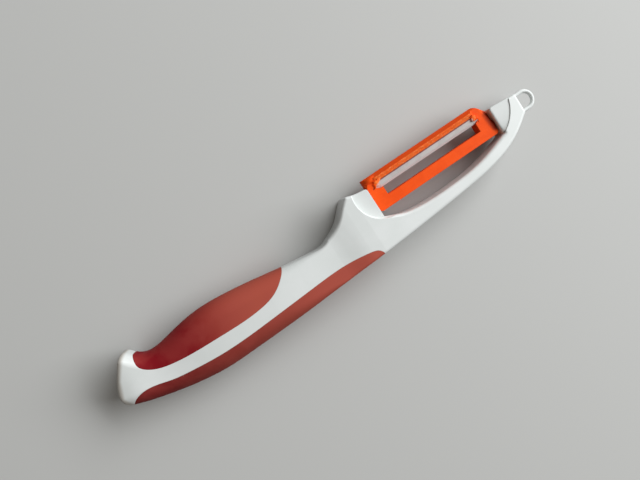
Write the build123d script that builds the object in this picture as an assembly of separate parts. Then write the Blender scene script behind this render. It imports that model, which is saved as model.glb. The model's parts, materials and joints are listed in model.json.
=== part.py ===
from build123d import *
import math
import os

# Swivel vegetable peeler lying on its side. X runs along the swivel axis towards the hanging
# loop, Y towards the blade side, and Z up from the surface that the peeler lies on. The pieces
# are drawn with the frame's near end at X zero and the swivel axis at Y zero, and are moved at
# the end so that the origin is below the middle of the whole peeler.

# Driving sizes of the handle, in millimetres
handle_length = 200.0
handle_width = 31.0
grip_thickness = 16.0
nose_thickness = 8.8
near_boss_thickness = 10.4
nose_boss_thickness = 7.9
butt_reach = 126.0
palm_reach = 21.6
middle_height = grip_thickness / 2

# Blanks and cutters run this far past what they trim
spare = 3.0
cutter_reach = handle_width + spare


def along(share):
    return share * handle_length - butt_reach


def across(share):
    return share * handle_width - palm_reach


def outline_points(shares):
    return [(along(length_share), across(width_share)) for length_share, width_share in shares]


def through_block(face):
    return Pos(0, 0, middle_height - cutter_reach) * extrude(face, cutter_reach * 2, dir=(0, 0, 1))


# Swivel: stub pins on the frame turn in blind holes in the near boss and the nose
swivel_pin_radius = 1.75
swivel_pin_length = 4.5
swivel_clearance = 0.08
swivel_hole_spare = 0.7
swivel_swing_degrees = 20
swivel_level = middle_height
frame_end_gap = 0.7
flat_share = 0.9

# Grip zone: sections from the butt to the neck. Each has a share of the length, the palm edge and
# thumb edge as shares of the width, then the thickness and the edge rounding as shares of the
# grip's thickness. The belly is a hair thicker than the grip and is trimmed flat.
grip_section_shares = [
    (-0.025, 0.400, 1.245, 0.900, 0.28),
    (0.020, 0.284, 1.092, 0.930, 0.30),
    (0.050, 0.213, 0.928, 0.945, 0.33),
    (0.080, 0.148, 0.772, 0.895, 0.38),
    (0.110, 0.094, 0.761, 0.880, 0.42),
    (0.150, 0.042, 0.806, 0.925, 0.45),
    (0.210, 0.000, 0.850, 0.990, 0.47),
    (0.250, 0.000, 0.838, 1.001, 0.47),
    (0.290, 0.003, 0.808, 1.001, 0.46),
    (0.340, 0.013, 0.755, 1.001, 0.40),
    (0.390, 0.029, 0.694, 0.975, 0.29),
    (0.430, 0.045, 0.655, 0.930, 0.20),
    (0.465, 0.061, 0.624, 0.893, 0.11),
    (0.500, 0.071, 0.658, 0.880, 0.080),
]
neck_share = grip_section_shares[-1][0]
neck_thickness = grip_section_shares[-1][3] * grip_thickness
least_rounding = 0.5


def grip_section(length_share, palm_share, thumb_share, thick_share, round_share, inset):
    half = thick_share * grip_thickness / 2 - inset
    rounding = max(round_share * grip_thickness - inset, least_rounding)
    low = across(palm_share) + inset + rounding
    high = across(thumb_share) - inset - rounding
    level = half - rounding
    plane = Plane(origin=(along(length_share), 0, middle_height), x_dir=(0, 1, 0), z_dir=(1, 0, 0))
    turns = [(high, -level, -90), (high, level, 0), (low, level, 90), (low, -level, 180)]
    arcs = [CenterArc((side, height), rounding, start, 90) for side, height, start in turns]
    edges = []
    for number, arc in enumerate(arcs):
        following = arcs[(number + 1) % len(arcs)]
        edges += [arc, Line(arc @ 1, following @ 0)]
    return plane * make_face(edges)


def grip_form(inset):
    return loft([grip_section(*shares, inset) for shares in grip_section_shares])


# Butt: a slanted end with rounded corners and a rounded rim
butt_end_shares = [(0.0520, 0.985), (0.0255, 0.765), (0.0080, 0.590), (0.0010, 0.450),
                   (0.0060, 0.335), (0.0160, 0.292)]
butt_rim = 1.3


def butt_cutter():
    points = outline_points(butt_end_shares)
    corner_out = (-butt_reach - cutter_reach, cutter_reach)
    corner_low = (-butt_reach - cutter_reach, -cutter_reach)
    top = (points[0][0] + cutter_reach, cutter_reach + points[0][1])
    bottom = (points[-1][0] + spare, -cutter_reach)
    edge = Spline(points, tangents=[(-0.64, -0.77), (0.94, -0.34)])
    border = [edge, Line(points[-1], bottom), Line(bottom, corner_low), Line(corner_low, corner_out),
              Line(corner_out, top), Line(top, points[0])]
    return through_block(make_face(border))


# Head: one outline for neck flare, near boss, bow and nose, cut by a tapering side profile
flare_shares = [(0.500, 0.658), (0.5345, 0.758), (0.5695, 0.966), (0.5755, 0.996)]
boss_top_shares = [(0.5755, 0.996), (0.595, 0.955), (0.624, 0.931)]
palm_edge_shares = [(0.9995, 0.590), (0.9795, 0.497), (0.9495, 0.381), (0.8995, 0.268),
                    (0.788, 0.174), (0.623, 0.110), (0.500, 0.071)]
bow_edge_shares = [(0.624, 0.497), (0.6395, 0.452), (0.660, 0.397), (0.6915, 0.355), (0.775, 0.335),
                   (0.856, 0.377), (0.9225, 0.490), (0.934, 0.513)]
nose_top_share = 0.903
nose_end_top_share = 0.877
long_edge_rounding = 1.2
crest_start_share = 0.562
crest_end_share = 0.587
head_slope = (nose_thickness - grip_thickness) / 2 / (handle_length * (1 - crest_end_share))


def head_outline():
    flare = Spline(outline_points(flare_shares), tangents=[(0.96, 0.28), (0.80, 0.60)])
    boss_top = Spline(outline_points(boss_top_shares))
    bow_edge = Spline(outline_points(bow_edge_shares))
    palm_edge = Spline(outline_points(palm_edge_shares))
    nose_low = bow_edge @ 1
    nose_top = (nose_low.X, across(nose_top_share))
    end_low = palm_edge @ 0
    end_top = (end_low.X, across(nose_end_top_share))
    borders = [flare, boss_top, Line(boss_top @ 1, bow_edge @ 0), bow_edge, Line(nose_low, nose_top),
               Line(nose_top, end_top), Line(end_top, end_low), palm_edge, Line(palm_edge @ 1, flare @ 0)]
    return make_face(borders)


def head_level(x):
    return grip_thickness / 2 + head_slope * (x - along(crest_end_share))


def side_profile():
    start = (along(neck_share), neck_thickness / 2)
    crest = (along(crest_start_share), grip_thickness / 2)
    turn = (along(crest_end_share), grip_thickness / 2)
    end = (along(1) + spare, head_level(along(1) + spare))
    upper = [Spline([start, crest], tangents=[(1, 0), (1, 0)]), Line(crest, turn), Line(turn, end)]
    lower = [edge.mirror(Plane.XZ) for edge in upper]
    ends = [Line(start, (start[0], -start[1])), Line(end, (end[0], -end[1]))]
    face = make_face(upper + lower + ends)
    plane = Plane(origin=(0, cutter_reach, middle_height), x_dir=(1, 0, 0), z_dir=(0, -1, 0))
    return extrude(plane * face, cutter_reach * 2, dir=(0, -1, 0))


def head_form():
    form = through_block(head_outline()) & side_profile()
    neck = along(neck_share)
    corners = [edge for edge in form.edges().filter_by(Axis.Z) if edge.center().Y > swivel_pin_radius]
    form = fillet([edge for edge in corners if edge.center().X > neck + spare], long_edge_rounding)
    flats = [face for face in form.faces() if abs(face.normal_at().Z) > flat_share]
    turns = [along(crest_start_share), along(crest_end_share)]
    rims = []
    for face in flats:
        for edge in face.edges():
            middle = edge.center()
            on_turn = min(abs(middle.X - turn) for turn in turns) < long_edge_rounding
            crossing = abs(edge.tangent_at(flat_share).Y) > flat_share and on_turn
            if middle.X > neck + least_rounding and not crossing:
                rims.append(edge)
    return fillet(rims, long_edge_rounding)


def slab(thickness):
    size = handle_length * 2
    return Pos(0, 0, middle_height) * Box(size, size, thickness)


def butt_form():
    form = grip_form(0) - butt_cutter()
    end = form.faces().sort_by(Axis.X)[0]
    return fillet(end.edges(), butt_rim) & slab(grip_thickness)


near_face = along(boss_top_shares[-1][0])
nose_face = along(bow_edge_shares[-1][0])


def rod(start, end, radius):
    return Pos((start + end) / 2, 0, swivel_level) * Rot(0, 90, 0) * Cylinder(radius, end - start)


def swivel_holes():
    depth = swivel_pin_length - frame_end_gap + swivel_hole_spare
    radius = swivel_pin_radius + swivel_clearance
    near = rod(near_face - depth, near_face + spare, radius)
    far = rod(nose_face - spare, nose_face + depth, radius)
    return near + far


# Recesses beside the swivel: flat floors on both sides, each bounded by an arc. The near one has
# a sloping step with a banked rim above it.
near_recess_centre = (3.6, 4.6)
near_recess_radius = 12.1
near_step_height = 1.4
near_step_run = 0.6
far_recess_centre = (53.7, 9.9)
far_recess_radius = 17.0
bank_centre = (4.7, 7.6)
bank_low_radius = 12.3
bank_high_radius = 17.2


def stacked(centre, floor, side, tools):
    turn = Rot(0, 0, 0) if side > 0 else Rot(180, 0, 0)
    place = Pos(centre[0], centre[1], middle_height + side * floor) * turn
    return [place * Pos(0, 0, height) * tool for height, tool in tools]


def recess_cutters():
    base = (Align.CENTER, Align.CENTER, Align.MIN)
    near_floor = near_boss_thickness / 2
    far_floor = nose_boss_thickness / 2
    bank_floor = near_floor + near_step_height
    bank_lean = (bank_high_radius - bank_low_radius) / (grip_thickness / 2 - bank_floor)
    bank_height = grip_thickness / 2 - bank_floor + spare
    step_radius = near_recess_radius + near_step_run
    step = Cone(near_recess_radius, step_radius, near_step_height, align=base)
    above = Cylinder(step_radius, cutter_reach, align=base)
    bank = Cone(bank_low_radius, bank_low_radius + bank_lean * bank_height, bank_height, align=base)
    far = Cylinder(far_recess_radius, cutter_reach, align=base)
    cutters = []
    for side in (1, -1):
        cutters += stacked(near_recess_centre, near_floor, side, [(0, step), (near_step_height, above)])
        cutters += stacked(bank_centre, bank_floor, side, [(0, bank)])
        cutters += stacked(far_recess_centre, far_floor, side, [(0, far)])
    return cutters


# Hanging loop: a thin round ring on two short arms at the nose's end
loop_centre = (78.25, 0.8)
loop_radius = 3.75
loop_wire = 1.7


def hanging_loop():
    root = along(palm_edge_shares[0][0]) - loop_wire / 2
    high = loop_centre[1] + loop_radius
    low = loop_centre[1] - loop_radius
    upper = Line((root, high), (loop_centre[0], high))
    bend = ThreePointArc(upper @ 1, (loop_centre[0] + loop_radius, loop_centre[1]), (loop_centre[0], low))
    lower = Line(bend @ 1, (root, low))
    path = Wire([upper, bend, lower])
    section = Plane(origin=(root, high, 0), z_dir=(1, 0, 0)) * Circle(loop_wire / 2)
    return Pos(0, 0, swivel_level) * sweep(section, path=path)


# Stop: a lug on the frame's near end moves in an arc-shaped pocket in the near boss
stop_lug_root = 2.9
stop_lug_height = 1.4
stop_lug_width = 1.2
stop_lug_reach = 1.0
stop_gap = 0.3
stop_end_gap_degrees = 1.5


def stop_pocket():
    inner = stop_lug_root - stop_gap
    outer = stop_lug_root + stop_lug_height + stop_gap
    half_turn = swivel_swing_degrees + math.degrees(math.asin(stop_lug_width / 2 / stop_lug_root))
    half_turn += stop_end_gap_degrees
    depth = stop_lug_reach + stop_gap
    arcs = [CenterArc((0, 0), radius, -half_turn, half_turn * 2) for radius in (inner, outer)]
    ring = make_face(arcs + [Line(arcs[0] @ end, arcs[1] @ end) for end in (0, 1)])
    plane = Plane(origin=(near_face - depth, 0, swivel_level), x_dir=(0, 1, 0), z_dir=(1, 0, 0))
    return extrude(plane * ring, depth + spare, dir=(1, 0, 0))


def handle_form():
    form = butt_form() + head_form()
    for cutter in recess_cutters():
        form = form - cutter
    form = form + hanging_loop()
    return form - swivel_holes() - stop_pocket()


# Soft grips: two pads moulded into the handle and wrapping round its edges
pad_thickness = 2.2
thumb_pad_shares = [(0.057, 0.960), (0.063, 0.735), (0.0635, 0.700), (0.081, 0.564), (0.120, 0.475),
                    (0.2175, 0.4225), (0.314, 0.420), (0.352, 0.474), (0.381, 0.594), (0.394, 0.690),
                    (0.398, 0.800)]
palm_pad_shares = [(0.010, 0.270), (0.028, 0.362), (0.0505, 0.390), (0.103, 0.310), (0.141, 0.268),
                   (0.2175, 0.2225), (0.333, 0.2355), (0.420, 0.258), (0.497, 0.265), (0.555, 0.223),
                   (0.5765, 0.168), (0.582, 0.100), (0.580, 0.000)]


def pad_region(shares, outer_side):
    points = outline_points(shares)
    edge = Spline(points)
    first = (points[0][0], outer_side)
    last = (points[-1][0], outer_side)
    return through_block(make_face([edge, Line(points[-1], last), Line(last, first), Line(first, points[0])]))


def head_core():
    thickness = neck_thickness - pad_thickness * 2
    block = extrude(Pos(0, pad_thickness) * head_outline(), thickness)
    return Pos(0, 0, middle_height - thickness / 2) * block


def grip_pad(form, core, shares, outer_side):
    return (form & pad_region(shares, outer_side)) - core


# Frame: a flat plate with a slot, a ridge over the blade and a cut-off far corner
frame_thickness = 5.0
frame_length = nose_face - near_face - frame_end_gap * 2
frame_guard = 4.65
frame_low_edge = -4.45
frame_high_edge = 10.65
frame_slot = 3.9
frame_near_end = 6.3
frame_far_end = 6.8
frame_corner_cut = 4.5
frame_corner = 1.3
blade_overhang = 1.0
ridge_height = 1.5
ridge_crest = 8.9
ridge_foot = 7.2
ridge_drop = 1.4
ridge_near_end = 4.6
ridge_far_end = 7.4
ridge_run = 1.6

frame_near_x = near_face + frame_end_gap
frame_far_x = frame_near_x + frame_length
slot_low_edge = frame_low_edge + frame_guard
slot_high_edge = slot_low_edge + frame_slot
frame_top = middle_height + frame_thickness / 2
frame_bottom = middle_height - frame_thickness / 2


def frame_outline():
    corners = [(frame_near_x, frame_low_edge), (frame_far_x, frame_low_edge),
               (frame_far_x, frame_high_edge - frame_corner_cut),
               (frame_far_x - frame_corner_cut, frame_high_edge), (frame_near_x, frame_high_edge)]
    return make_face(Polyline(*corners, close=True))


def frame_plate():
    plate = Pos(0, 0, frame_bottom) * extrude(frame_outline(), frame_thickness)
    low = [edge for edge in plate.edges().filter_by(Axis.Z) if edge.center().Y < slot_low_edge]
    return fillet(low, frame_corner)


def frame_ridge():
    outer_level = frame_top - ridge_drop
    crest_level = frame_top + ridge_height
    across_points = [(ridge_foot, outer_level), (ridge_foot, frame_top), (ridge_crest, crest_level),
                     (frame_high_edge, outer_level)]
    plane = Plane(origin=(frame_near_x, 0, 0), x_dir=(0, 1, 0), z_dir=(1, 0, 0))
    ridge = extrude(plane * make_face(Polyline(*across_points, close=True)), frame_length, dir=(1, 0, 0))
    near = frame_near_x + ridge_near_end
    far = frame_far_x - ridge_far_end
    run = ridge_run * (ridge_height + ridge_drop) / ridge_height
    along_points = [(near - run, outer_level), (near, crest_level), (far, crest_level),
                    (far + run, outer_level)]
    side = Plane(origin=(0, ridge_foot - spare, 0), x_dir=(1, 0, 0), z_dir=(0, -1, 0))
    limit = extrude(side * make_face(Polyline(*along_points, close=True)), cutter_reach, dir=(0, 1, 0))
    return ridge & limit


def frame_bevel():
    outer_level = frame_top - ridge_drop
    lean = (frame_high_edge - ridge_crest) / (ridge_height + ridge_drop)
    points = [(frame_high_edge, outer_level), (frame_high_edge + spare, outer_level),
              (frame_high_edge + spare, frame_top + spare),
              (frame_high_edge - lean * (ridge_drop + spare), frame_top + spare)]
    plane = Plane(origin=(frame_near_x - spare, 0, 0), x_dir=(0, 1, 0), z_dir=(1, 0, 0))
    return extrude(plane * make_face(Polyline(*points, close=True)), frame_length + spare * 2, dir=(1, 0, 0))


# The frame's top falls away towards the handle at both ends, beside the swivel
far_slope_run = 3.3
far_slope_low = -1.6
far_slope_drop = 2.1
near_slope_run = 1.9
near_slope_low = 6.2
near_slope_drop = 1.5


def end_slope(end, inward, low, drop):
    start = Vector(end, low, frame_top)
    upper = Vector(end + inward, frame_high_edge, frame_top)
    sunk = Vector(end, frame_high_edge, frame_top - drop)
    upward = (upper - start).cross(sunk - start)
    upward = upward if upward.Z > 0 else upward * -1
    plane = Plane(origin=start, x_dir=upper - start, z_dir=upward)
    return plane * Box(frame_length, frame_length, cutter_reach, align=(Align.CENTER, Align.CENTER, Align.MIN))


# Blade: a ceramic strip with pointed ends, ground to an edge along the slot
blade_thickness = 1.0
blade_width = 5.4
blade_near_point = 3.4
blade_far_point = 5.0
blade_point_drop = 0.9
blade_bevel = 0.9
blade_edge_land = 0.12
blade_level = 0.1
blade_corner_run = 1.6


def blade_outline():
    near = frame_near_x + blade_near_point
    far = frame_far_x - blade_far_point
    low = slot_high_edge
    high = slot_high_edge + blade_width
    points = [(near, low + blade_point_drop), (near + blade_corner_run, low), (far - blade_corner_run, low),
              (far, low + blade_point_drop), (far, high), (near, high)]
    return make_face(Polyline(*points, close=True))


def blade_strip():
    bottom = frame_top - blade_level - blade_thickness
    strip = Pos(0, 0, bottom) * extrude(blade_outline(), blade_thickness)
    top_edges = strip.edges().filter_by(Axis.X).group_by(Axis.Z)[-1]
    keen = top_edges.sort_by(Axis.Y)[0]
    return chamfer([keen], blade_thickness - blade_edge_land, blade_bevel)


# Frame details: window over the blade, two melted tabs on its ends and the swivel parts
tab_length = 2.0
tab_inset = 0.6
tab_width = 1.9
tab_height = 0.7
tab_rounding = 0.5


def slot_cutter():
    start = frame_near_x + frame_near_end
    end = frame_far_x - frame_far_end
    width = frame_slot + blade_overhang
    middle = (slot_low_edge + slot_low_edge + width) / 2
    return Pos((start + end) / 2, middle, middle_height) * Box(end - start, width, cutter_reach)


def blade_window():
    window = blade_outline() & Pos(0, ridge_foot - cutter_reach / 2) * Rectangle(handle_length, cutter_reach)
    level = frame_top - blade_level - blade_thickness
    return Pos(0, 0, level) * extrude(window, blade_thickness + spare)


def blade_tabs():
    level = frame_top - blade_level
    high = ridge_foot
    near = frame_near_x + blade_near_point
    far = frame_far_x - blade_far_point
    tabs = []
    for middle in (near + tab_inset, far - tab_inset):
        block = Box(tab_length, tab_width, tab_height, align=(Align.CENTER, Align.MAX, Align.MIN))
        block = fillet(block.edges().group_by(Axis.Z)[-1], tab_rounding)
        tabs.append(Pos(middle, high, level) * block)
    return tabs


def frame_pins():
    near = rod(frame_near_x - swivel_pin_length, frame_near_x, swivel_pin_radius)
    far = rod(frame_far_x, frame_far_x + swivel_pin_length, swivel_pin_radius)
    return near + far


def stop_lug():
    reach = stop_lug_reach + frame_end_gap
    low = stop_lug_root + stop_lug_height / 2
    return Pos(frame_near_x - reach / 2, low, swivel_level) * Box(reach, stop_lug_height, stop_lug_width)


def blade_frame(blade):
    body = frame_plate() - end_slope(frame_far_x, -far_slope_run, far_slope_low, far_slope_drop)
    body = body - end_slope(frame_near_x, near_slope_run, near_slope_low, near_slope_drop)
    body = body + frame_ridge() - frame_bevel() - slot_cutter() - blade_window() - blade
    for tab in blade_tabs():
        body = body + tab
    return body + frame_pins() + stop_lug() - blade


# Assembly
handle = handle_form()
core = grip_form(pad_thickness) + head_core()
thumb_grip = grip_pad(handle, core, thumb_pad_shares, across(1) + spare)
palm_grip = grip_pad(handle, core, palm_pad_shares, across(0) - spare)
handle_core = handle - thumb_grip - palm_grip
ceramic_blade = blade_strip()
swivel_frame = blade_frame(ceramic_blade)

pieces = {
    "handle_core": handle_core,
    "thumb_grip": thumb_grip,
    "palm_grip": palm_grip,
    "blade_frame": swivel_frame,
    "ceramic_blade": ceramic_blade,
}
# The core reaches both ends and both flat faces; the palm grip and the frame reach the two sides
ends = handle_core.bounding_box()
low_side = palm_grip.bounding_box().min.Y
high_side = swivel_frame.bounding_box().max.Y
shift = Pos(-(ends.min.X + ends.max.X) / 2, -(low_side + high_side) / 2, -ends.min.Z)

os.makedirs("parts", exist_ok=True)
for name, piece in pieces.items():
    solids = (shift * piece).solids()
    export_step(solids[0] if len(solids) == 1 else Compound(solids), f"parts/{name}.step")
    print(name, len(solids), "solids")
middle = (shift * Pos((near_face + nose_face) / 2, 0, swivel_level)).position
print("swivel at", middle.X, middle.Y, middle.Z)
print("moved by", shift.position.X, shift.position.Y, "size", ends.size.X, high_side - low_side, ends.size.Z)
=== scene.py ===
import bpy
import bmesh
import json
import math
import random
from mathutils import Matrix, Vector, noise


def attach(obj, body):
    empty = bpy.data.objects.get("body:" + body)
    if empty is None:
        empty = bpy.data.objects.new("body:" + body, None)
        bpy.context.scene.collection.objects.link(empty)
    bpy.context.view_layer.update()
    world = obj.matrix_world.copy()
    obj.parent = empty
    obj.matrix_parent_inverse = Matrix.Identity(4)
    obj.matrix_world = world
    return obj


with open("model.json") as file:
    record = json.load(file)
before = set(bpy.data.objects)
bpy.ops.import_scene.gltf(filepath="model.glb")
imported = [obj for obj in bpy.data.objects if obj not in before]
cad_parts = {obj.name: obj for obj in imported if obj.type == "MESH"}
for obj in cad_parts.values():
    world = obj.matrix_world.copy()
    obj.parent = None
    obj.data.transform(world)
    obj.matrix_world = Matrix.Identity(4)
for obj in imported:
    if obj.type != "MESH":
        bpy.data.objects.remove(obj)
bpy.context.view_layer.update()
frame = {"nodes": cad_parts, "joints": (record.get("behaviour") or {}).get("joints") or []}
scene = bpy.context.scene
scene.view_settings.view_transform = "Standard"

# Camera: above the grip, looking almost straight down, with the handle lying across the picture.
# Places are measured in millimetres from where the swivel axis enters the frame's near end.
MM = 0.001
swivel = Vector(frame["joints"][0]["pos_m"])
half_frame_and_gap = 29.8


def at(x, y, height):
    """A point given in millimetres along the axis, across it, and above the handle's middle."""
    return swivel + Vector((x - half_frame_and_gap, y, height)) * MM


camera_height = 203.0
camera_turn = (-0.93665, -6.6345, -33.86805)
camera_data = bpy.data.cameras.new("camera")
camera_data.sensor_width = 36
camera_data.lens = 28.125
camera_data.clip_start = 0.01
camera_data.clip_end = 20
camera = bpy.data.objects.new("camera", camera_data)
camera.location = at(-45.54, 16.06, camera_height)
camera.rotation_euler = [math.radians(angle) for angle in camera_turn]
scene.collection.objects.link(camera)
scene.camera = camera


# White handle: one injection moulding of hard plastic with a fine satin skin. The grips are
# moulded on flush with it, so only a hairline shows where they meet.
def node(tree, kind, inputs, **settings):
    """Adds a shader node and sets or links its inputs."""
    made = tree.nodes.new("ShaderNode" + kind)
    for setting, value in settings.items():
        setattr(made, setting, value)
    for socket, value in inputs.items():
        if isinstance(value, bpy.types.NodeSocket):
            tree.links.new(value, made.inputs[socket])
        else:
            made.inputs[socket].default_value = value
    return made


def calc(tree, operation, *values, clamp=False):
    return node(tree, "Math", dict(enumerate(values)), operation=operation, use_clamp=clamp).outputs[0]


def calc_vector(tree, operation, *values):
    made = node(tree, "VectorMath", dict(enumerate(values)), operation=operation)
    return made.outputs["Value" if operation in ("DOT_PRODUCT", "LENGTH") else "Vector"]


def remap(tree, value, low, high, to_low, to_high, smooth=False):
    limits = {"Value": value, "From Min": low, "From Max": high, "To Min": to_low, "To Max": to_high}
    kind = "SMOOTHSTEP" if smooth else "LINEAR"
    return node(tree, "MapRange", limits, interpolation_type=kind).outputs["Result"]


def spread_noise(tree, value, to_low, to_high):
    """Spreads a noise value over a range. Noise seldom leaves the two usual limits."""
    usual_low, usual_high = 0.3, 0.7
    return remap(tree, value, usual_low, usual_high, to_low, to_high)


def tint(tree, factor, under, over):
    """Lays one colour over another where the factor is high."""
    factor_socket, under_socket, over_socket, colour_result = 0, 6, 7, 2
    inputs = {factor_socket: factor, under_socket: under, over_socket: over}
    return node(tree, "Mix", inputs, data_type="RGBA").outputs[colour_result]


def lay_over(tree, mask, strength, under, over):
    """Lays a colour over another through a mask, at a strength."""
    return tint(tree, calc(tree, "MULTIPLY", mask, strength), under, over)


def effect_group(name, inputs, outputs):
    """Starts a node group with named sockets and returns its tree, input sockets and output node."""
    tree = bpy.data.node_groups.new(name, "ShaderNodeTree")
    for label, kind, value in inputs:
        socket = tree.interface.new_socket(name=label, in_out="INPUT", socket_type="NodeSocket" + kind)
        socket.default_value = value
    for label, kind in outputs:
        tree.interface.new_socket(name=label, in_out="OUTPUT", socket_type="NodeSocket" + kind)
    return tree, tree.nodes.new("NodeGroupInput").outputs, tree.nodes.new("NodeGroupOutput").inputs


def effect(tree, group, inputs):
    """Places a node group in a material with that material's own values."""
    return node(tree, "Group", inputs, node_tree=group).outputs


def moulded_skin_group():
    """Fine grain from the mould, and slow cloudy variation from handling."""
    inputs = [("Position", "Vector", (0, 0, 0)), ("Grain Size", "Float", MM), ("Cloud Size", "Float", MM)]
    tree, given, out = effect_group("moulded_skin", inputs, [("Grain", "Float"), ("Cloud", "Float")])
    fine = {"Vector": given["Position"], "Scale": calc(tree, "DIVIDE", 1, given["Grain Size"]),
            "Detail": 3, "Roughness": 0.6}
    slow = {"Vector": given["Position"], "Scale": calc(tree, "DIVIDE", 1, given["Cloud Size"]),
            "Detail": 4, "Roughness": 0.55, "Distortion": 0.4}
    tree.links.new(node(tree, "TexNoise", fine).outputs["Fac"], out["Grain"])
    clear, clouded = 0.35, 0.65
    cloud = remap(tree, node(tree, "TexNoise", slow).outputs["Fac"], clear, clouded, 0, 1, smooth=True)
    tree.links.new(cloud, out["Cloud"])
    return tree


def specks_group():
    """Scattered dust specks: a few cells of a fine mesh each hold one uneven dot."""
    inputs = [("Position", "Vector", (0, 0, 0)), ("Spacing", "Float", MM), ("Size", "Float", 0.2),
              ("Share", "Float", 0.1)]
    tree, given, out = effect_group("dust_specks", inputs, [("Mask", "Float")])
    wander_fineness = 3
    smallest, largest = 0.4, 1.5
    scale = calc(tree, "DIVIDE", 1, given["Spacing"])
    wander_scale = calc(tree, "MULTIPLY", scale, wander_fineness)
    wander = node(tree, "TexNoise", {"Vector": given["Position"], "Scale": wander_scale})
    cells = node(tree, "TexVoronoi", {"Vector": given["Position"], "Scale": scale})
    pick = node(tree, "SeparateColor", {0: cells.outputs["Color"]}).outputs[0]
    chosen = calc(tree, "LESS_THAN", pick, given["Share"])
    growth = spread_noise(tree, wander.outputs["Fac"], smallest, largest)
    uneven = calc(tree, "MULTIPLY", given["Size"], growth)
    near = calc(tree, "SUBTRACT", 1, calc(tree, "DIVIDE", cells.outputs["Distance"], uneven), clamp=True)
    tree.links.new(calc(tree, "MULTIPLY", chosen, near), out["Mask"])
    return tree


def stroke_group():
    """A short mark along the line between two points, with soft ragged sides."""
    inputs = [("Position", "Vector", (0, 0, 0)), ("Start", "Vector", (0, 0, 0)),
              ("End", "Vector", (0, 0, 0)), ("Width", "Float", MM), ("Rag", "Float", 0.3)]
    tree, given, out = effect_group("stroke_mark", inputs, [("Mask", "Float")])
    middle_of_noise = 0.5
    solid_share = 0.35
    run = calc_vector(tree, "SUBTRACT", given["End"], given["Start"])
    away = calc_vector(tree, "SUBTRACT", given["Position"], given["Start"])
    share = calc(tree, "DIVIDE", calc_vector(tree, "DOT_PRODUCT", away, run),
                 calc_vector(tree, "DOT_PRODUCT", run, run), clamp=True)
    nearest = node(tree, "VectorMath", {0: run, "Scale": share}, operation="SCALE").outputs[0]
    distance = calc_vector(tree, "LENGTH", calc_vector(tree, "SUBTRACT", away, nearest))
    rough = node(tree, "TexNoise", {"Vector": given["Position"], "Scale": 2500, "Detail": 2})
    off_middle = calc(tree, "SUBTRACT", rough.outputs["Fac"], middle_of_noise)
    swing = calc(tree, "MULTIPLY", off_middle, given["Rag"])
    reach = calc(tree, "ADD", calc(tree, "DIVIDE", distance, given["Width"]), swing)
    tree.links.new(remap(tree, reach, solid_share, 1, 1, 0, smooth=True), out["Mask"])
    return tree


def soft_edge_group():
    """Edges turned over a small radius, with a mask of where they are."""
    inputs = [("Radius", "Float", MM), ("Gain", "Float", 1.0)]
    tree, given, out = effect_group("soft_edge", inputs, [("Normal", "Vector"), ("Edge", "Float")])
    turned = node(tree, "Bevel", {"Radius": given["Radius"]}, samples=6).outputs[0]
    true_normal = node(tree, "NewGeometry", {}).outputs["Normal"]
    lean = calc(tree, "SUBTRACT", 1, calc_vector(tree, "DOT_PRODUCT", turned, true_normal))
    tree.links.new(turned, out["Normal"])
    tree.links.new(calc(tree, "MULTIPLY", lean, given["Gain"], clamp=True), out["Edge"])
    return tree


moulded_skin = moulded_skin_group()
dust_specks = specks_group()
stroke_mark = stroke_group()
soft_edge = soft_edge_group()


def strokes(tree, position, marks, rag):
    """One mask for several marks, each given by its start, end and width in millimetres."""
    mask = 0
    for start, end, width in marks:
        mark = effect(tree, stroke_mark, {"Position": position, "Start": at(*start), "End": at(*end),
                                          "Width": width * MM, "Rag": rag})
        mask = calc(tree, "MAXIMUM", mask, mark["Mask"])
    return mask


def start_material(name):
    """A material with its shader and a position that stays with the piece as it moves."""
    material = bpy.data.materials.new(name)
    material.use_nodes = True
    tree = material.node_tree
    shader = tree.nodes["Principled BSDF"]
    position = tree.nodes.new("ShaderNodeTexCoord").outputs["Object"]
    return material, tree, shader, position


def dress(name, material):
    """Gives a kept node its finish."""
    slots = frame["nodes"][name].material_slots
    for slot in slots:
        slot.material = material
    if not slots:
        frame["nodes"][name].data.materials.append(material)


def add_bump(tree, shader, height, strength, distance, normal):
    bump = node(tree, "Bump", {"Height": height, "Strength": strength, "Distance": distance,
                               "Normal": normal})
    tree.links.new(bump.outputs[0], shader.inputs["Normal"])


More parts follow.
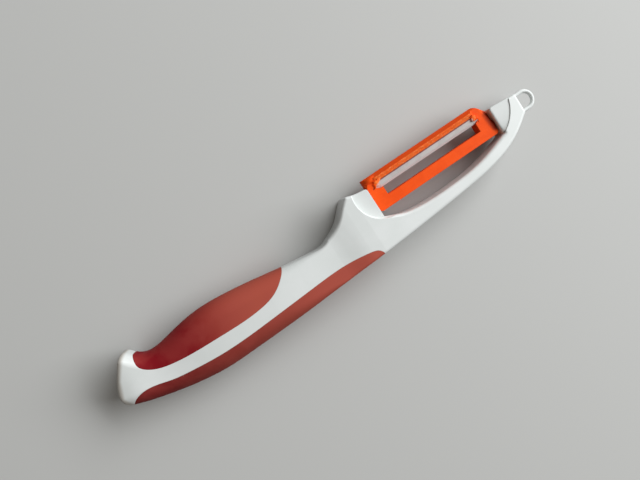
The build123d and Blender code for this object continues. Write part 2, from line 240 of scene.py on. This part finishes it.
def white_plastic():
    """Satin white: worn edges, painted light on the nose's end wall at the gap, and painted shade along
    the butt's rim.
    """
    material, tree, shader, position = start_material("white_plastic")
    dull_white = (0.700, 0.725, 0.715, 1)
    light_white = (0.735, 0.755, 0.750, 1)
    worn_edge = (0.62, 0.60, 0.56, 1)
    # Painted light on the nose's end wall: a lighter beige at its top and a painted orange reflection
    # from the frame at its foot.
    painted_light_wall_rim = (0.95, 0.88, 0.80, 1)
    painted_orange_reflection = (0.88, 0.46, 0.29, 1)
    rim_painted_shade = (0.36, 0.32, 0.275, 1)
    speck_grey = (0.25, 0.23, 0.21, 1)
    nick_grey = (0.28, 0.27, 0.26, 1)
    usual_rounding, end_rounding = 0.30 * MM, 1.60 * MM
    # Line of the butt's rounded rim, along which a painted shade is laid.
    rim_line = [(-116.6, 7.4), (-122.8, -0.6), (-125.9, -7.8), (-124.2, -12.0)]
    neck_nick = [((-11.5, 3.9, 7.6), (-10.6, 3.9, 7.6), 0.42)]

    skin = effect(tree, moulded_skin, {"Position": position, "Grain Size": 0.45 * MM,
                                       "Cloud Size": 16 * MM})
    along_handle, _, level = node(tree, "SeparateXYZ", {0: position}).outputs
    nose = remap(tree, along_handle, at(59.0, 0, 0).x, at(60.5, 0, 0).x, 0, 1)
    past_gap = remap(tree, along_handle, at(61.2, 0, 0).x, at(62.5, 0, 0).x, 0, 1)
    nose_end = calc(tree, "MULTIPLY", nose, calc(tree, "SUBTRACT", 1, past_gap))
    butt = remap(tree, along_handle, at(-115.0, 0, 0).x, at(-118.0, 0, 0).x, 0, 1)
    rounded_ends = calc(tree, "MAXIMUM", nose_end, butt)
    rounding = remap(tree, rounded_ends, 0, 1, usual_rounding, end_rounding)
    edge = effect(tree, soft_edge, {"Radius": rounding, "Gain": 0.8})

    object_normal = node(tree, "TexCoord", {}).outputs["Normal"]
    facing = node(tree, "SeparateXYZ", {0: object_normal}).outputs[0]
    faces_grip = remap(tree, facing, -0.8, -0.4, 1, 0)
    gap_wall = calc(tree, "MULTIPLY", nose_end, faces_grip)
    depth = remap(tree, level, at(0, 0, 3.9).z, at(0, 0, 1.8).z, 0, 1)
    flat = calc_vector(tree, "MULTIPLY", position, (1, 1, 0))
    rim_points = [Vector((*at(x, y, 0).xy, 0)) for x, y in rim_line]
    rim_mask = 0
    for start, end in zip(rim_points, rim_points[1:]):
        reached = effect(tree, stroke_mark, {"Position": flat, "Start": start, "End": end,
                                             "Width": 2.4 * MM, "Rag": 0.10})
        rim_mask = calc(tree, "MAXIMUM", rim_mask, reached["Mask"])
    specks = effect(tree, dust_specks, {"Position": position, "Spacing": 5 * MM, "Size": 0.035,
                                        "Share": 0.12})
    nick = strokes(tree, position, neck_nick, 0.3)

    colour = tint(tree, skin["Cloud"], dull_white, light_white)
    colour = lay_over(tree, edge["Edge"], 0.3, colour, worn_edge)
    # Painted light: the nose's end wall at the gap is made lighter, beige at the top and orange-brown at
    # the foot.
    colour = lay_over(tree, gap_wall, 0.9, colour, tint(tree, depth, painted_light_wall_rim, painted_orange_reflection))
    # Painted shade along the butt's rounded rim.
    colour = lay_over(tree, rim_mask, 0.75, colour, rim_painted_shade)
    colour = lay_over(tree, specks["Mask"], 0.6, colour, speck_grey)
    colour = lay_over(tree, nick, 0.7, colour, nick_grey)
    tree.links.new(colour, shader.inputs["Base Color"])
    tree.links.new(spread_noise(tree, skin["Grain"], 0.34, 0.44), shader.inputs["Roughness"])
    add_bump(tree, shader, calc(tree, "SUBTRACT", skin["Grain"], nick), 0.12, 0.03 * MM, edge["Normal"])
    return material


handle_white = white_plastic()
dress("handle_core", handle_white)


# Floor of the far recess: part of the same white moulding. It rises from the nose's end wall to a
# low step at its arc. Its foot starts just under the handle's own floor and it runs into the arc's wall.
def place_mesh(mesh, name, finish):
    """Turns a built mesh into a piece with a finish."""
    data = bpy.data.meshes.new(name)
    mesh.to_mesh(data)
    mesh.free()
    data.materials.append(finish)
    piece = bpy.data.objects.new(name, data)
    scene.collection.objects.link(piece)
    return piece


def recess_floor(name, side):
    """A fan of slanting strips from the end wall to the arc, on one side of the nose."""
    centre = Vector((53.7, 9.9))
    arc_radius = 17.0
    sink = 0.04
    wall_x = 60.85
    upper_y, lower_y = 6.28, -5.40
    first_angle, last_angle = -14.3, -64.6
    floor_level = 3.93
    underside = 2.4
    nose_start, nose_start_level, nose_slope = 61.9, 4.93, 0.0436
    step = 0.32
    count = 48
    mesh = bmesh.new()
    rings = []
    for number in range(count + 1):
        share = number / count
        angle = math.radians(first_angle + (last_angle - first_angle) * share)
        foot = Vector((wall_x, upper_y + (lower_y - upper_y) * share))
        crest = centre + Vector((math.cos(angle), math.sin(angle))) * (arc_radius + sink)
        crest_level = nose_start_level - nose_slope * (crest.x - nose_start) - step
        corners = [(foot, underside), (crest, underside), (crest, crest_level), (foot, floor_level)]
        rings.append([mesh.verts.new(at(place.x, place.y, level * side)) for place, level in corners])
    sides = len(corners)
    for low, high in zip(rings, rings[1:]):
        for number in range(sides):
            following = (number + 1) % sides
            mesh.faces.new((low[number], low[following], high[following], high[number]))
    mesh.faces.new(rings[0])
    mesh.faces.new(list(reversed(rings[-1])))
    bmesh.ops.recalc_face_normals(mesh, faces=mesh.faces)
    rising_floor = place_mesh(mesh, name, handle_white)
    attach(rising_floor, "handle")


recess_floor("recess_floor_upper", 1)
recess_floor("recess_floor_lower", -1)


# Soft grips: red soft-touch plastic moulded over the handle in two pads. The skin is matte and
# holds dust. Its colour is painted darker towards the butt (painted shade) and paler towards the neck
# (painted sheen, partly real rubbing by the hand).
def soft_red(name, shaded_red, sheen_and_rubbed_red, shaded_end, sheen_end):
    """Matte red that runs from a darker colour (painted shade) to a paler one (painted sheen, partly real
    rubbing) between two places on the handle.
    """
    material, tree, shader, position = start_material(name)
    cloud_red = (0.380, 0.070, 0.055, 1)
    worn_edge = (0.52, 0.20, 0.17, 1)
    dust = (0.62, 0.42, 0.38, 1)
    skin = effect(tree, moulded_skin, {"Position": position, "Grain Size": 0.30 * MM,
                                       "Cloud Size": 9 * MM})
    edge = effect(tree, soft_edge, {"Radius": 0.15 * MM, "Gain": 1.6})
    specks = effect(tree, dust_specks, {"Position": position, "Spacing": 3.2 * MM, "Size": 0.045,
                                        "Share": 0.22})
    along_handle = node(tree, "SeparateXYZ", {0: position}).outputs[0]
    # Painted shade and sheen along the handle, partly real rubbing: darker near the butt, paler towards
    # the neck.
    sheen_and_wear = remap(tree, along_handle, at(shaded_end, 0, 0).x, at(sheen_end, 0, 0).x, 0, 1, smooth=True)
    colour = tint(tree, sheen_and_wear, shaded_red, sheen_and_rubbed_red)
    colour = lay_over(tree, skin["Cloud"], 0.25, colour, cloud_red)
    colour = lay_over(tree, edge["Edge"], 0.5, colour, worn_edge)
    colour = lay_over(tree, specks["Mask"], 0.8, colour, dust)
    tree.links.new(colour, shader.inputs["Base Color"])
    tree.links.new(spread_noise(tree, skin["Grain"], 0.60, 0.75), shader.inputs["Roughness"])
    shader.inputs["Specular IOR Level"].default_value = 0.15
    height = calc(tree, "ADD", skin["Grain"], specks["Mask"])
    add_bump(tree, shader, height, 0.25, 0.03 * MM, edge["Normal"])
    return material


dress("thumb_grip", soft_red("soft_grip_thumb", shaded_red=(0.210, 0.004, 0.009, 1),
                             sheen_and_rubbed_red=(0.420, 0.080, 0.052, 1), shaded_end=-98, sheen_end=-62))
dress("palm_grip", soft_red("soft_grip_palm", shaded_red=(0.165, 0.013, 0.013, 1),
                            sheen_and_rubbed_red=(0.430, 0.085, 0.056, 1), shaded_end=-122, sheen_end=-8))


# Swivel frame: printed in one piece in orange plastic. Layers stack up its walls, the beads of the
# last layer run along its top, and its corners bear small dents from the tool that fitted the blade.
def print_lines_group():
    """Rounded beads side by side: their height, and a tone that differs from bead to bead."""
    inputs = [("Position", "Vector", (0, 0, 0)), ("Across", "Vector", (0, 0, 1)), ("Pitch", "Float", MM),
              ("Wander", "Float", 0.2)]
    tree, given, out = effect_group("print_lines", inputs, [("Height", "Float"), ("Tone", "Float")])
    middle_of_noise = 0.5
    half_bead = 0.5
    full_drop = 4
    drift = node(tree, "TexNoise", {"Vector": given["Position"], "Scale": 220, "Detail": 2})
    off_middle = calc(tree, "SUBTRACT", drift.outputs["Fac"], middle_of_noise)
    offset = calc(tree, "MULTIPLY", off_middle, given["Wander"])
    level = calc_vector(tree, "DOT_PRODUCT", given["Position"], given["Across"])
    count = calc(tree, "ADD", calc(tree, "DIVIDE", level, given["Pitch"]), offset)
    place = calc(tree, "SUBTRACT", calc(tree, "FRACT", count), half_bead)
    drop = calc(tree, "MULTIPLY", calc(tree, "POWER", place, 2), full_drop)
    whole = calc(tree, "FLOOR", count)
    tone = node(tree, "TexWhiteNoise", {"W": whole}, noise_dimensions="1D").outputs["Value"]
    tree.links.new(calc(tree, "SUBTRACT", 1, drop), out["Height"])
    tree.links.new(tone, out["Tone"])
    return tree


print_lines = print_lines_group()
frame_top = 2.5
smears = [
    ((3.70, 5.35, frame_top + 0.5), (4.60, 5.85, frame_top + 0.5), 0.75),
    ((52.30, 5.60, frame_top + 0.5), (52.60, 6.40, frame_top + 0.5), 0.60),
]
dents = [
    ((1.75, 5.15, frame_top), (2.35, 5.35, frame_top), 0.50),
    ((2.75, 6.25, frame_top), (3.80, 6.60, frame_top), 0.42),
    ((4.60, 7.85, frame_top + 0.55), (4.75, 7.95, frame_top + 0.65), 0.38),
    ((54.75, 4.15, frame_top), (54.85, 5.10, frame_top), 0.38),
    ((51.90, 7.75, frame_top + 0.50), (53.00, 7.95, frame_top + 0.55), 0.55),
    ((51.60, 7.15, frame_top), (52.80, 7.00, frame_top), 0.35),
]
# Painted shadow that the nose casts on the frame's far slope.
nose_shadow_on_slope = [((58.8, 5.0, 1.2), (59.8, -1.4, 1.8), 2.5)]


def printed_orange(name, base, dark, layer_strength, fleck_strength):
    """Orange print with layer lines on its walls, bead rows on top, pale flecks, film and dents, with
    painted highlights on its edges and a painted shadow on its far slope.
    """
    material, tree, shader, position = start_material(name)
    edge_highlight_orange = (0.95, 0.22, 0.06, 1)
    fleck_orange = (0.98, 0.45, 0.19, 1)
    pale_film = (0.60, 0.36, 0.31, 1)
    painted_shadow_red = (0.22, 0.015, 0.003, 1)
    dent_shade = (0.34, 0.022, 0.004, 1)
    dent_depth = 4
    skin = effect(tree, moulded_skin, {"Position": position, "Grain Size": 0.25 * MM,
                                       "Cloud Size": 6 * MM})
    edge = effect(tree, soft_edge, {"Radius": 0.14 * MM, "Gain": 1.4})
    layers = effect(tree, print_lines, {"Position": position, "Across": (0, 0, 1), "Pitch": 0.2 * MM,
                                        "Wander": 0.25})
    rows = effect(tree, print_lines, {"Position": position, "Across": (0, 1, 0), "Pitch": 0.42 * MM,
                                      "Wander": 0.30})
    flecks = effect(tree, dust_specks, {"Position": position, "Spacing": 0.8 * MM, "Size": 0.45,
                                        "Share": 0.55})
    object_normal = node(tree, "TexCoord", {}).outputs["Normal"]
    facing = node(tree, "SeparateXYZ", {0: object_normal}).outputs[2]
    on_top = remap(tree, calc(tree, "ABSOLUTE", facing), 0.90, 0.98, 0, 1)
    on_side = calc(tree, "SUBTRACT", 1, on_top)
    dented = strokes(tree, position, dents, 0.6)

    colour = lay_over(tree, skin["Cloud"], 0.35, base, dark)
    colour = lay_over(tree, calc(tree, "MULTIPLY", layers["Tone"], on_side), 0.35, colour, dark)
    colour = lay_over(tree, rows["Tone"], 0.12, colour, dark)
    # Painted highlight: every edge is made a lighter orange.
    colour = lay_over(tree, edge["Edge"], 0.45, colour, edge_highlight_orange)
    colour = lay_over(tree, flecks["Mask"], fleck_strength, colour, fleck_orange)
    colour = lay_over(tree, strokes(tree, position, smears, 0.5), 0.85, colour, pale_film)
    # Painted shadow of the nose on the far slope.
    colour = lay_over(tree, strokes(tree, position, nose_shadow_on_slope, 0.15), 0.85, colour, painted_shadow_red)
    colour = lay_over(tree, dented, 0.85, colour, dent_shade)
    tree.links.new(colour, shader.inputs["Base Color"])
    tree.links.new(spread_noise(tree, skin["Grain"], 0.56, 0.68), shader.inputs["Roughness"])
    shader.inputs["Specular IOR Level"].default_value = 0.15

    side_height = calc(tree, "MULTIPLY", layers["Height"], on_side)
    row_height = calc(tree, "MULTIPLY", calc(tree, "MULTIPLY", rows["Height"], on_top), 0.5)
    grain = calc(tree, "MULTIPLY", skin["Grain"], 0.4)
    height = calc(tree, "ADD", calc(tree, "ADD", side_height, row_height), grain)
    height = calc(tree, "SUBTRACT", height, calc(tree, "MULTIPLY", dented, dent_depth))
    add_bump(tree, shader, height, layer_strength, 0.04 * MM, edge["Normal"])
    return material


orange = (0.93, 0.090, 0.003, 1)
shaded_orange = (0.74, 0.056, 0.002, 1)
frame_orange = printed_orange("printed_plastic", orange, shaded_orange, layer_strength=0.5,
                              fleck_strength=0.06)
dress("blade_frame", frame_orange)


# Lip over the blade: its overhanging beads drooped while they were soft, so they lie unevenly
# side by side from the near blob to the far one. They are fused to the frame's ridge.
def drooped_bead(curve, share, phase, start, end, spread):
    """One bead, at its share of the way up from the lip's foot to the ridge's crest."""
    foot = Vector((7.46, 2.68))
    crest = Vector((8.88, 3.93))
    side = Vector((-0.66, 0.75))
    sag = Vector((-0.22, -0.30))
    sink_end, sink_slope = 4.1, 0.9
    wave_rate, droop_rate, swell_rate = 0.8, 0.45, 1.7
    wave_row, droop_row, swell_row = 0, 5, 9
    swelling = 0.50
    count = 70
    spline = curve.splines.new("NURBS")
    spline.points.add(count)
    for number in range(count + 1):
        x = start + (end - start) * number / count
        sunk = max(0, sink_end - x) * sink_slope
        wave = noise.noise(Vector((x * wave_rate, phase, wave_row)))
        droop = max(0, noise.noise(Vector((x * droop_rate, phase, droop_row)))) * (1 - share)
        place = foot.lerp(crest, share) + side * wave * spread + sag * droop
        point = at(x, place.x, place.y - sunk)
        swell = noise.noise(Vector((x * swell_rate, phase, swell_row)))
        spline.points[number].co = (*point, 1)
        spline.points[number].radius = 1 + swelling * swell
    spline.order_u = 4
    spline.use_endpoint_u = True


lip_curve = bpy.data.curves.new("lip_beads", "CURVE")
lip_curve.dimensions = "3D"
lip_curve.bevel_depth = 0.21 * MM
lip_curve.bevel_resolution = 3
lip_curve.use_fill_caps = True
bead_count = 6
phase_step = 7.3
lip_start, lip_end = 3.3, 53.0
bead_random = random.Random(4)
for number in range(bead_count):
    share = number / (bead_count - 1)
    start = lip_start + bead_random.uniform(-0.5, 0.6)
    end = lip_end + bead_random.uniform(-0.8, 0.4)
    drooped_bead(lip_curve, share, number * phase_step, start, end, spread=0.15)
lip_beads = bpy.data.objects.new("lip_beads", lip_curve)
scene.collection.objects.link(lip_beads)
# A lighter copy of the frame's orange, as painted light: the lip's beads and the melted welds look lit
# with it.
painted_lit_orange = (0.96, 0.190, 0.030, 1)
bead_orange = printed_orange("drooped_plastic", painted_lit_orange, orange, layer_strength=0.35,
                             fleck_strength=0.8)
lip_curve.materials.append(bead_orange)
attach(lip_beads, "cutter")


# Melted blobs: the blade's ends are held down with plastic that was melted over them by hand,
# in small overlapping dabs. Each blob is fused to the frame's corner beside it.
def dab(mesh, centre, size, unevenness, seed):
    """One soft dab: a round blank pressed flat and pushed about by noise."""
    broad_rate, fine_rate = 1.3, 3.1
    fine_share = 0.35
    made = bmesh.ops.create_icosphere(mesh, subdivisions=4, radius=1)
    for vertex in made["verts"]:
        push = noise.noise(vertex.co * broad_rate + Vector((seed, 0, 0)))
        push += fine_share * noise.noise(vertex.co * fine_rate + Vector((0, seed, 0)))
        local = vertex.co * (1 + unevenness * push)
        vertex.co = centre + Vector((local.x * size[0], local.y * size[1], local.z * size[2])) * MM


def melted_weld(name, finish, unevenness, dabs):
    """Dabs given by place and size, fused into one blob and settled smooth."""
    seed_step = 3.7
    mesh = bmesh.new()
    for number, (place, size) in enumerate(dabs):
        dab(mesh, at(*place), size, unevenness, number * seed_step)
    weld = place_mesh(mesh, name, finish)
    fuse = weld.modifiers.new("fuse", "REMESH")
    fuse.mode = "VOXEL"
    fuse.voxel_size = 0.09 * MM
    fuse.use_smooth_shade = True
    settle = weld.modifiers.new("settle", "SMOOTH")
    settle.iterations = 8
    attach(weld, "cutter")


melted_weld("near_weld", bead_orange, 0.18, [
    ((2.8, 5.40, 2.56), (0.60, 0.42, 0.20)), ((3.5, 5.95, 2.86), (0.75, 0.50, 0.26)),
    ((4.2, 6.50, 2.98), (0.80, 0.52, 0.28)), ((4.9, 6.95, 2.92), (0.85, 0.48, 0.32)),
    ((5.6, 7.20, 2.86), (0.75, 0.42, 0.30)), ((4.0, 7.10, 3.00), (1.00, 0.62, 0.30)),
])
melted_weld("far_weld", bead_orange, 0.18, [
    ((53.8, 6.5, 2.88), (1.00, 0.85, 0.34)), ((54.3, 5.9, 2.78), (0.85, 0.70, 0.30)),
    ((53.3, 5.9, 2.88), (0.65, 0.60, 0.28)), ((53.9, 7.1, 2.84), (1.10, 0.60, 0.32)),
    ((54.6, 6.6, 2.68), (0.75, 0.70, 0.24)), ((52.8, 6.3, 2.76), (0.62, 0.80, 0.34)),
])


# Ridge nose: at the near end the printed ridge behind the lip runs out in a smooth round mound of
# the frame's own orange plastic, printed in one with the frame.
melted_weld("ridge_nose", frame_orange, 0.04, [((2.7, 9.00, 1.80), (3.00, 1.40, 1.80))])


# Blade: a thin strip of white ceramic, ground along the slot. Fine grinding lines cross the ground
# face. A shadow is painted along the lip, and orange reflected light is painted at both ends.
def ground_ceramic():
    """Pale ceramic with a brighter ground bevel, a painted shadow along the lip and painted orange
    reflected light at the ends.
    """
    material, tree, shader, position = start_material("ceramic")
    dull_ceramic = (0.450, 0.420, 0.410, 1)
    light_ceramic = (0.510, 0.480, 0.470, 1)
    ground_white = (0.74, 0.70, 0.70, 1)
    end_painted_reflection = (0.74, 0.28, 0.20, 1)
    lip_painted_shadow = (0.17, 0.018, 0.008, 1)
    lip_line = [((4, 7.05, 2.4), (54, 7.05, 2.4), 0.45)]
    blade_ends = [((2.6, 5.0, 2.3), (4.3, 5.1, 2.3), 1.5), ((52.6, 6.9, 2.3), (55.4, 5.2, 2.3), 1.6)]
    ground_smoothness = 0.12
    skin = effect(tree, moulded_skin, {"Position": position, "Grain Size": 0.18 * MM,
                                       "Cloud Size": 5 * MM})
    edge = effect(tree, soft_edge, {"Radius": 0.08 * MM, "Gain": 1.5})
    grinding = effect(tree, print_lines, {"Position": position, "Across": (1, 0.15, 0),
                                          "Pitch": 0.11 * MM, "Wander": 1.5})
    across_blade = node(tree, "SeparateXYZ", {0: position}).outputs[1]
    ground = remap(tree, across_blade, at(0, 4.95, 0).y, at(0, 5.05, 0).y, 1, 0)
    colour = tint(tree, skin["Cloud"], dull_ceramic, light_ceramic)
    colour = lay_over(tree, ground, 0.75, colour, ground_white)
    # Painted orange reflection from the frame at both ends of the blade.
    colour = lay_over(tree, strokes(tree, position, blade_ends, 0.3), 0.45, colour, end_painted_reflection)
    # Painted shadow on the blade under the lip.
    colour = lay_over(tree, strokes(tree, position, lip_line, 0.7), 0.9, colour, lip_painted_shadow)
    tree.links.new(colour, shader.inputs["Base Color"])
    rough = calc(tree, "SUBTRACT", spread_noise(tree, skin["Grain"], 0.34, 0.46),
                 calc(tree, "MULTIPLY", ground, ground_smoothness))
    tree.links.new(rough, shader.inputs["Roughness"])
    lines = calc(tree, "MULTIPLY", calc(tree, "MULTIPLY", grinding["Height"], ground), 0.8)
    add_bump(tree, shader, calc(tree, "ADD", skin["Grain"], lines), 0.25, 0.015 * MM, edge["Normal"])
    return material


dress("ceramic_blade", ground_ceramic())


# Floor: a plain pale sheet. The camera sees it pale, while the object gets back only the weaker
# light of a grey table top.
def studio_floor():
    """Pale to the camera and in reflections, grey to all other light."""
    material, tree, shader, _ = start_material("floor")
    table_grey = (0.20, 0.20, 0.20, 1)
    pale_sheet = (0.52, 0.52, 0.51, 1)
    seen = node(tree, "LightPath", {})
    direct = calc(tree, "MAXIMUM", seen.outputs["Is Camera Ray"], seen.outputs["Is Glossy Ray"])
    tree.links.new(tint(tree, direct, table_grey, pale_sheet), shader.inputs["Base Color"])
    shader.inputs["Roughness"].default_value = 0.8
    return material


floor_mesh = bpy.data.meshes.new("floor")
reach = 3.0
corners = [(-reach, -reach, 0), (reach, -reach, 0), (reach, reach, 0), (-reach, reach, 0)]
floor_mesh.from_pydata(corners, [], [(0, 1, 2, 3)])
floor = bpy.data.objects.new("floor", floor_mesh)
floor_mesh.materials.append(studio_floor())
scene.collection.objects.link(floor)


# Studio light: one large soft lamp beyond the loop's end, and an even sky that lights the object
# weakly and warmly while the camera sees it pale.
sky_light = (0.215, 0.205, 0.19, 1)
pale_backdrop = (0.80, 0.80, 0.80, 1)
world = bpy.data.worlds.new("studio")
world.use_nodes = True
sky = world.node_tree
background = sky.nodes["Background"]
camera_sees = node(sky, "LightPath", {}).outputs["Is Camera Ray"]
sky.links.new(tint(sky, camera_sees, sky_light, pale_backdrop), background.inputs["Color"])
background.inputs["Strength"].default_value = 1.0
scene.world = world

key_data = bpy.data.lights.new("key", "AREA")
key_data.shape = "RECTANGLE"
key_data.size = 2.0
key_data.size_y = 0.9
key_data.energy = 44
key_data.color = (0.965, 0.99, 1.0)
key = bpy.data.objects.new("key", key_data)
key.location = (1.32, 0.14, 0.90)
key.rotation_euler = (Vector((0, 0, 0)) - key.location).to_track_quat("-Z", "Y").to_euler()
scene.collection.objects.link(key)
